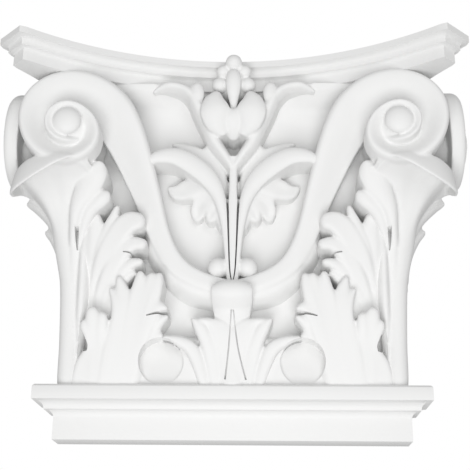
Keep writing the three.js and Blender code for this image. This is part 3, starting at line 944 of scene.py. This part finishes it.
@dataclass
class TierLeaves(SubAssembly):
    """The two rows of leaves on one half of the bell, with the round sinking in the lower one.

    Each group of lobes is one leaf sheet. The skirt gives the apron's height
    and depth from the foot up.
    """

    grain: float = 0.7
    budget: int = 180000
    slit_depths: Series = (28, 28, 44)
    apron_span: Pair = (12.0, 84.0)
    eye: Eye = Eye()

    low: Sequence[Sequence[Rows]] = (
        (
            ((93, 31, 7, 28), (91.5, 45, 5.5, 30), (86.5, 55, 3.4, 33), (88.6, 61, 3, 35),
             (91.4, 67, 3, 36.5), (92.2, 70, 1.6, 37)),
            ((86, 31, 6, 28.5), (86, 55, 6, 33), (86.6, 68, 5.2, 37.5), (86.8, 75.4, 4.2, 39.5)),
            ((82, 31, 6, 28.5), (81.4, 55, 5.8, 33.5), (81.4, 65, 5, 37.5), (80.8, 72, 4.2, 39.5)),
        ),
        (
            ((78, 31, 6, 29), (74, 55, 6, 34.5), (70.8, 72, 4.4, 38.5), (72.4, 82, 3, 40),
             (75.6, 89.8, 1.6, 40.5)),
            ((74, 31, 6, 29), (69.5, 60, 7, 35.5), (67.8, 80, 6.4, 40), (68.6, 89, 4.8, 41),
             (70.6, 96.4, 2.3, 42)),
        ),
        (
            ((69, 31, 6, 29), (63.5, 60, 6.5, 36), (59.5, 82, 6, 41), (57.6, 92, 4.6, 43),
             (57.2, 98.6, 2.8, 44)),
            ((66, 31, 6, 29), (60, 60, 6, 36), (54, 82, 6, 41.5), (50.8, 94, 4.2, 44), (50, 97.2, 3, 44)),
            ((65, 31, 5, 29), (58.5, 58, 6.5, 36), (52, 79, 6.6, 42), (47.5, 91.5, 5, 44),
             (45.4, 97.4, 2.7, 44.5)),
            ((63, 31, 4.5, 29), (59, 50, 5.5, 34), (53, 68, 6, 39.5), (47, 77.8, 4.6, 42),
             (40.8, 77.4, 1.8, 43)),
        ),
        (
            ((61, 31, 4, 28.5), (58.5, 46, 5, 32), (53, 60, 6, 36), (47, 68.2, 4.6, 39),
             (40.4, 72.4, 1.8, 40.5)),
            ((62, 31, 4, 28.5), (59, 44, 5, 31), (55.5, 55, 5, 33.5), (50, 60.4, 3.8, 35.5),
             (44.4, 61.6, 2.4, 36)),
        ),
    )
    high: Sequence[Sequence[Rows]] = (
        (
            ((95, 60, 7, 23), (94.5, 92, 6.5, 27.5), (93.6, 112, 4.6, 35), (93.8, 130.4, 1.9, 42)),
            ((90, 60, 6, 23), (89.5, 92, 7, 28.5), (88.5, 118, 6.6, 40), (87, 130.5, 5.4, 44),
             (87.8, 139.4, 2.6, 45.5)),
        ),
        (
            ((88, 60, 6, 23), (86.5, 92, 6, 29), (82.5, 116, 5.6, 40.5), (77.5, 131, 4.4, 45),
             (73.6, 142.2, 2, 47)),
        ),
        (
            ((87, 60, 6, 23), (85, 90, 7, 29), (80, 110, 7.5, 40), (73, 124, 7.6, 45), (66, 131.5, 7.4, 48),
             (60.6, 132.6, 6, 49)),
        ),
        (
            ((86, 60, 5.5, 23), (83.5, 82, 6, 28), (78, 100, 6, 37), (70.5, 113, 5.8, 42.5),
             (63.5, 118.6, 5, 44.5), (57.4, 118.6, 4, 45)),
        ),
        (
            ((84, 60, 5, 23), (81.5, 78, 5.5, 27), (76.5, 92, 5.2, 34), (70, 102, 4.6, 39),
             (63.6, 106.6, 3.8, 41.5), (58.4, 107.4, 2.7, 42.5)),
        ),
        (
            ((82, 60, 4.5, 23), (79.5, 74, 4.8, 26.5), (75, 86, 4.5, 32), (69.5, 95.4, 3.8, 37),
             (64.6, 100, 2.8, 39), (62, 101, 2, 39.5)),
        ),
    )
    slits: tuple[Rows, ...] = (
        ((52.6, 60, 73, 0.4), (46, 60, 74.4, 0.8), (38, 60, 75.2, 1.1)),
        ((68.6, 60, 113.4, 0.4), (62, 60, 112.8, 0.7), (54, 60, 112.4, 1)),
        ((93.6, 60, 65.5, 0.6), (92.6, 60, 60, 1.8), (91.4, 60, 55.5, 2.4), (90.8, 60, 52.4, 1.2)),
    )
    skirt: Rows = ((30.5, 27.5), (44, 28.5), (56, 28.6), (61, 28), (64, 22))

    def apron(self) -> Shell:
        """The plain foot of the leaves, in one sheet from the middle to the corner.

        Returns:
            A skin of level outlines.
        """
        rows = through(self.skirt, np.linspace(0, len(self.skirt) - 1, 33))
        height, depth = rows[:, :1], rows[:, 1:]
        inner, outer = self.apron_span
        x = np.array([[inner, outer, outer, inner]])
        back = 0 * depth + INSIDE
        deep = np.concatenate([depth, depth, back, back], axis=1)
        return loft(np.stack(np.broadcast_arrays(x, deep, height), axis=-1))

    def shells(self) -> list[Shell]:
        """Every skin of the right half's leaves, which overlap."""
        lower = [Leaf(group, crown=0.5, crease=0.1).shell() for group in self.low]
        return lower + [Leaf(group).shell() for group in self.high] + [self.apron()]

    def build(self, half: Half) -> Object:
        """One half's leaves.

        Args:
            half: The half that the leaves are on.

        Returns:
            The piece.
        """
        pairs = zip(self.slits, self.slit_depths)
        slits = [Trail(rows, crown=0, thick=depth).shell() for rows, depth in pairs]
        holes = on_half([self.eye.shell()] + slits, half)
        shells = on_half(self.shells(), half)
        return fused(f"capital_leaves_{half.value}", shells, self.grain, self.budget, holes)


@dataclass
class Centrepiece(SubAssembly):
    """The middle leaf, the palmette over it and the flower under the abacus.

    The cap is the middle leaf's rib and its rolled tip, and the two lines are
    incised on it.
    """

    grain: float = 0.65
    budget: int = 195000
    slit_depth: float = 34.0
    line_depth: float = 20.0
    eye: Eye = Eye(floor=21.0)
    side_beads: tuple[Bead, ...] = (
        Bead((9.3, 33, 106), (6.6, 6.6, 6.6)),
        Bead((7, 54, 235), (4.4, 4.4, 4.4)),
        Bead((9.2, 52, 226), (5.1, 5.1, 5.1)),
    )
    middle_beads: tuple[Bead, ...] = (
        Bead((0, 44, 229), (11, 11, 11)),
        Bead((0, 56.5, 240.3), (5.4, 5.4, 5.4)),
    )

    mid_leaf: Sequence[Rows] = (
        ((2, 31, 6, 28.5), (3, 50, 7, 32), (6, 63, 8, 35.5), (13, 69.2, 3.6, 37.5), (19, 70.6, 2.4, 38.5)),
        ((10, 31, 5, 28.5), (11.5, 45, 5.4, 31), (15, 58, 5, 35), (20, 67.5, 4, 38),
         (24.4, 71.4, 1.3, 39.5)),
        ((16, 31, 4, 28.5), (20, 44, 4.4, 31), (25, 54, 4.4, 33.5), (32, 58.4, 3.6, 35),
         (41, 60.2, 2.2, 35.5)),
    )
    ear: Sequence[Rows] = (
        ((12, 149, 5, 43), (19, 156, 7.5, 42), (28, 158.5, 7.4, 39), (35.5, 157, 5.6, 36),
         (41.5, 160, 2.2, 34)),
        ((10.5, 146, 4.5, 41), (18, 149, 6.5, 38), (22.5, 145.5, 5.4, 34), (23, 141.5, 3.8, 31)),
        ((9, 142, 4.5, 40), (13, 142.5, 4.8, 37), (14.4, 139.8, 3.8, 34)),
        ((7, 133, 2.6, 38), (8.6, 138, 3, 37)),
    )
    upper_leaf: Sequence[Rows] = (
        ((4.5, 152, 0.6, 33), (7.5, 162, 3.5, 35.5), (13, 172, 6.4, 38), (23, 180, 7, 40),
         (33, 185.6, 3.8, 42), (39.2, 187.8, 1.5, 43.5)),
        ((4.4, 156, 1, 34), (7.6, 167, 3.5, 37), (13, 177, 5.4, 39.5), (16.8, 184.6, 4, 41.5)),
    )
    hook: Rows = (
        (2.4, 37, 93.6, 0.8), (4, 38.5, 118, 1.6), (5.6, 40.5, 135, 2.5), (8.7, 43.5, 150, 4.1),
        (14.8, 46.5, 161, 5.8), (25, 49, 170, 6.4), (37, 51, 175.8, 5.8), (48.5, 51.5, 175, 4.2),
        (56, 50, 170.4, 1.5),
    )
    arm: Rows = (
        (0.8, 42, 171.5, 3), (5.5, 43, 178.5, 3.8), (11.5, 44.5, 186.8, 4.6), (18, 47, 200, 4.8),
        (23.6, 49, 212, 4.8), (27, 50, 219, 4),
    )
    arm_lobe: Rows = (
        (25, 49, 215, 4), (29.5, 50, 221, 4.2), (35, 50, 224.4, 4), (42, 50, 225.6, 4),
        (48, 49.5, 224.4, 2.8), (53, 49, 222, 1.2),
    )
    arm_bud: Rows = ((25, 52, 213, 4), (23.6, 54, 219, 4.4), (24, 54, 224.5, 3.8), (24.4, 53, 227.5, 1.6))
    petal: Rows = (
        (6, 50, 192, 4.5), (9.6, 55, 198, 8.4), (11.6, 58, 205, 9.6), (12, 57.5, 212, 7.4),
        (11, 55.5, 217, 4.2), (10.4, 54.5, 219, 1.8),
    )
    cap: Rows = (
        (0, 27.5, 31, 8), (0, 29.5, 48, 8.5), (0, 31.5, 61, 9.5), (0, 33.6, 70, 10.4), (0, 36.4, 78, 11.8),
        (0, 40.6, 82, 12.8), (0, 44.4, 85.6, 13), (0, 45, 89, 12.8), (0, 43, 91.8, 12.2), (0, 38, 93.6, 11),
    )
    stalk: Rows = (
        (0, 37.5, 92, 1.5), (0, 40.5, 125, 2.9), (0, 42.5, 142, 3), (0, 43.5, 155, 2.6), (0, 45, 170, 2.6),
        (0, 46.5, 178, 3),
    )
    cup: Rows = (
        (0, 46, 190.5, 3.5), (0, 51.5, 195, 7), (0, 54.8, 200, 8), (0, 55.4, 203.6, 7), (0, 54, 205.2, 4),
    )
    bud: Rows = (
        (0, 50, 205, 1.2), (0, 54, 212, 2.6), (0, 58, 219, 4.4), (0, 59.5, 226, 4.9), (0, 58.5, 231.5, 4.2),
        (0, 56, 235, 2),
    )
    lines: tuple[Rows, ...] = (
        ((-0.6, 56.4, 73, 0.35), (-2, 51.6, 53, 0.45), (-4.4, 46.6, 31.6, 0.5)),
        ((1.4, 56.4, 73, 0.35), (4.2, 51.6, 53, 0.45), (9.8, 46.6, 31.6, 0.5)),
    )
    slit: Rows = (
        (0.5, 60, 96, 0.3), (1.7, 60, 104, 0.4), (2.5, 60, 121, 0.5), (3.1, 63, 138, 0.75),
        (3.6, 66, 147, 0.8), (4.2, 66, 151, 0.3),
    )

    def right(self) -> list[Shell]:
        """Skins that the two halves share, on the right half.

        Returns:
            Closed skins that overlap.
        """
        stems = [Trail(rows, crown=6).shell() for rows in (self.arm, self.arm_lobe)]
        trails = stems + [Trail(rows).shell() for rows in (self.hook, self.arm_bud)]
        sheets = [
            Leaf(self.mid_leaf).shell(),
            Leaf(self.ear, crown=0.5, crease=0.2, edge=2.2).shell(),
            Leaf(self.upper_leaf, crown=0.6).shell(),
            Trail(self.petal, crown=3).shell(),
        ]
        return sheets + trails + [bead.shell() for bead in self.side_beads]

    def middle(self) -> list[Shell]:
        """Skins on the middle line.

        Returns:
            Closed skins that overlap.
        """
        trails = [
            Trail(self.cap, crown=3),
            Trail(self.stalk, crown=1.2),
            Trail(self.cup, crown=3),
            Trail(self.bud, thick=9),
        ]
        return [form.shell() for form in (*trails, *self.middle_beads)]

    def build(self) -> Object:
        """The whole centre.

        Returns:
            The piece.
        """
        right = self.right()
        left = on_half(right, Half.LEFT)
        hole = self.eye.shell()
        slit = Trail(self.slit, crown=0, thick=self.slit_depth).shell()
        holes = [hole, moved(hole, mirror), slit, moved(slit, mirror)]
        holes += [Trail(line, crown=0, thick=self.line_depth).shell() for line in self.lines]
        return fused("capital_centre", right + left + self.middle(), self.grain, self.budget, holes)


@dataclass(frozen=True)
class WhiteMoulding:
    """The finish: matt white rigid foam with a very fine grain."""

    colour: Colour = (0.83, 0.83, 0.825, 1.0)
    roughness: float = 0.62
    grain_height: float = 0.00004
    grain_scale: float = 900.0
    grain_strength: float = 0.15
    grain_detail: float = 3.0

    def grain(self) -> bpy.types.ShaderNodeTree:
        """The shared surface grain.

        Returns:
            A node group with a scale in and a height out.
        """
        group = bpy.data.node_groups.new("moulded_grain", "ShaderNodeTree")
        group.interface.new_socket("Scale", in_out="INPUT", socket_type="NodeSocketFloat")
        group.interface.new_socket("Height", in_out="OUTPUT", socket_type="NodeSocketFloat")
        start = group.nodes.new("NodeGroupInput")
        stop = group.nodes.new("NodeGroupOutput")
        place = group.nodes.new("ShaderNodeTexCoord")
        noise = group.nodes.new("ShaderNodeTexNoise")
        noise.inputs["Detail"].default_value = self.grain_detail
        group.links.new(place.outputs["Object"], noise.inputs["Vector"])
        group.links.new(start.outputs["Scale"], noise.inputs["Scale"])
        group.links.new(noise.outputs["Fac"], stop.inputs["Height"])
        return group

    def material(self) -> bpy.types.Material:
        """The material that every piece wears.

        Returns:
            A procedural material.
        """
        material = bpy.data.materials.new(SLOT)
        material.use_nodes = True
        tree = material.node_tree
        shader = tree.nodes["Principled BSDF"]
        shader.inputs["Base Color"].default_value = self.colour
        shader.inputs["Roughness"].default_value = self.roughness
        grain = tree.nodes.new("ShaderNodeGroup")
        grain.node_tree = self.grain()
        grain.inputs["Scale"].default_value = self.grain_scale
        bump = tree.nodes.new("ShaderNodeBump")
        bump.inputs["Strength"].default_value = self.grain_strength
        bump.inputs["Distance"].default_value = self.grain_height
        tree.links.new(grain.outputs["Height"], bump.inputs["Height"])
        tree.links.new(bump.outputs["Normal"], shader.inputs["Normal"])
        return material


@dataclass(frozen=True)
class Camera:
    """The photograph's viewpoint, below the capital and looking up at it."""

    place: Triple = (0.02085, -0.624, -0.2129)
    yaw: float = -1.90
    tilt: float = 20.26
    roll: float = 0.65
    sensor: float = 36.0
    focal_pixels: float = 984.0
    picture_pixels: float = 470.0

    def build(self) -> Object:
        """Set the camera.

        Returns:
            The camera, made the scene's own.
        """
        yaw, tilt, roll = (math.radians(angle) for angle in (self.yaw, self.tilt, self.roll))
        level = math.cos(tilt)
        ahead = Vector((math.sin(yaw) * level, math.cos(yaw) * level, math.sin(tilt)))
        right = Vector((math.cos(yaw), -math.sin(yaw), 0))
        up = right.cross(ahead)
        side = right * math.cos(roll) + up * math.sin(roll)
        top = up * math.cos(roll) - right * math.sin(roll)
        data = bpy.data.cameras.new("view")
        data.sensor_width = self.sensor
        data.lens = self.sensor * self.focal_pixels / self.picture_pixels
        data.clip_start, data.clip_end = 0.01, 50
        camera = bpy.data.objects.new("view", data)
        bpy.context.scene.collection.objects.link(camera)
        turn = Matrix((side, top, -ahead)).transposed().to_4x4()
        camera.matrix_world = Matrix.Translation(self.place) @ turn
        bpy.context.scene.camera = camera
        return camera


@dataclass(frozen=True)
class Lamp:
    """A square soft light aimed at the capital, in metres and watts."""

    name: str
    place: Triple
    size: float
    power: float

    def build(self) -> None:
        """Set the light."""
        data = bpy.data.lights.new(self.name, "AREA")
        data.size = self.size
        data.energy = self.power
        lamp = bpy.data.objects.new(self.name, data)
        lamp.location = self.place
        lamp.rotation_euler = (-Vector(self.place)).to_track_quat("-Z", "Y").to_euler()
        bpy.context.scene.collection.objects.link(lamp)


@dataclass(frozen=True)
class Studio:
    """Soft white surroundings with the main light low in front."""

    sky: float = 0.45
    white: Colour = (1, 1, 1, 1)
    floor_height: float = -1.3
    floor_half: float = 4.0
    floor_colour: Colour = (0.8, 0.8, 0.8, 1)
    lamps: tuple[Lamp, ...] = (
        Lamp("low_front", (-0.05, -1.0, -0.8), 0.8, 9.0),
        Lamp("high_front", (0.3, -1.5, 0.4), 0.9, 5.0),
    )

    def world(self) -> None:
        """A white world, full white where the camera sees it."""
        world = bpy.data.worlds.new("studio")
        world.use_nodes = True
        tree = world.node_tree
        tree.nodes.clear()
        out = tree.nodes.new("ShaderNodeOutputWorld")
        mix = tree.nodes.new("ShaderNodeMixShader")
        path = tree.nodes.new("ShaderNodeLightPath")
        for socket, strength in ((1, self.sky), (2, 1.0)):
            light = tree.nodes.new("ShaderNodeBackground")
            light.inputs["Strength"].default_value = strength
            light.inputs["Color"].default_value = self.white
            tree.links.new(light.outputs["Background"], mix.inputs[socket])
        tree.links.new(path.outputs["Is Camera Ray"], mix.inputs["Fac"])
        tree.links.new(mix.outputs["Shader"], out.inputs["Surface"])
        bpy.context.scene.world = world

    def ground(self) -> None:
        """A pale level floor, well below the capital."""
        half = self.floor_half
        corners = [(-half, -half), (half, -half), (half, half), (-half, half)]
        floor = bpy.data.meshes.new("floor")
        floor.from_pydata([(x, y, self.floor_height) for x, y in corners], [], [(0, 1, 2, 3)])
        ground = bpy.data.objects.new("floor", floor)
        pale = bpy.data.materials.new("pale_floor")
        pale.use_nodes = True
        pale.node_tree.nodes["Principled BSDF"].inputs["Base Color"].default_value = self.floor_colour
        floor.materials.append(pale)
        bpy.context.scene.collection.objects.link(ground)

    def build(self) -> None:
        """Set the floor, the world and the lights."""
        self.ground()
        self.world()
        for lamp in self.lamps:
            lamp.build()
        view = bpy.context.scene.view_settings
        view.view_transform = "Standard"
        view.look = "None"


def main() -> None:
    """Build the capital and its studio."""
    logging.basicConfig(level=logging.INFO)
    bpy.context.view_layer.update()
    made = [(part, part.build()) for part in (Foot(), Abacus(), Bell(), Centrepiece())]
    for half in Half:
        made += [(part, part.build(half)) for part in (CornerCarving(), TierLeaves())]
    material = WhiteMoulding().material()
    for part, piece in made:
        part.dress(piece, material)
        LOG.info("%s has %d faces", piece.name, len(piece.data.polygons))
    Studio().build()
    Camera().build()


if __name__ == "__main__":
    main()
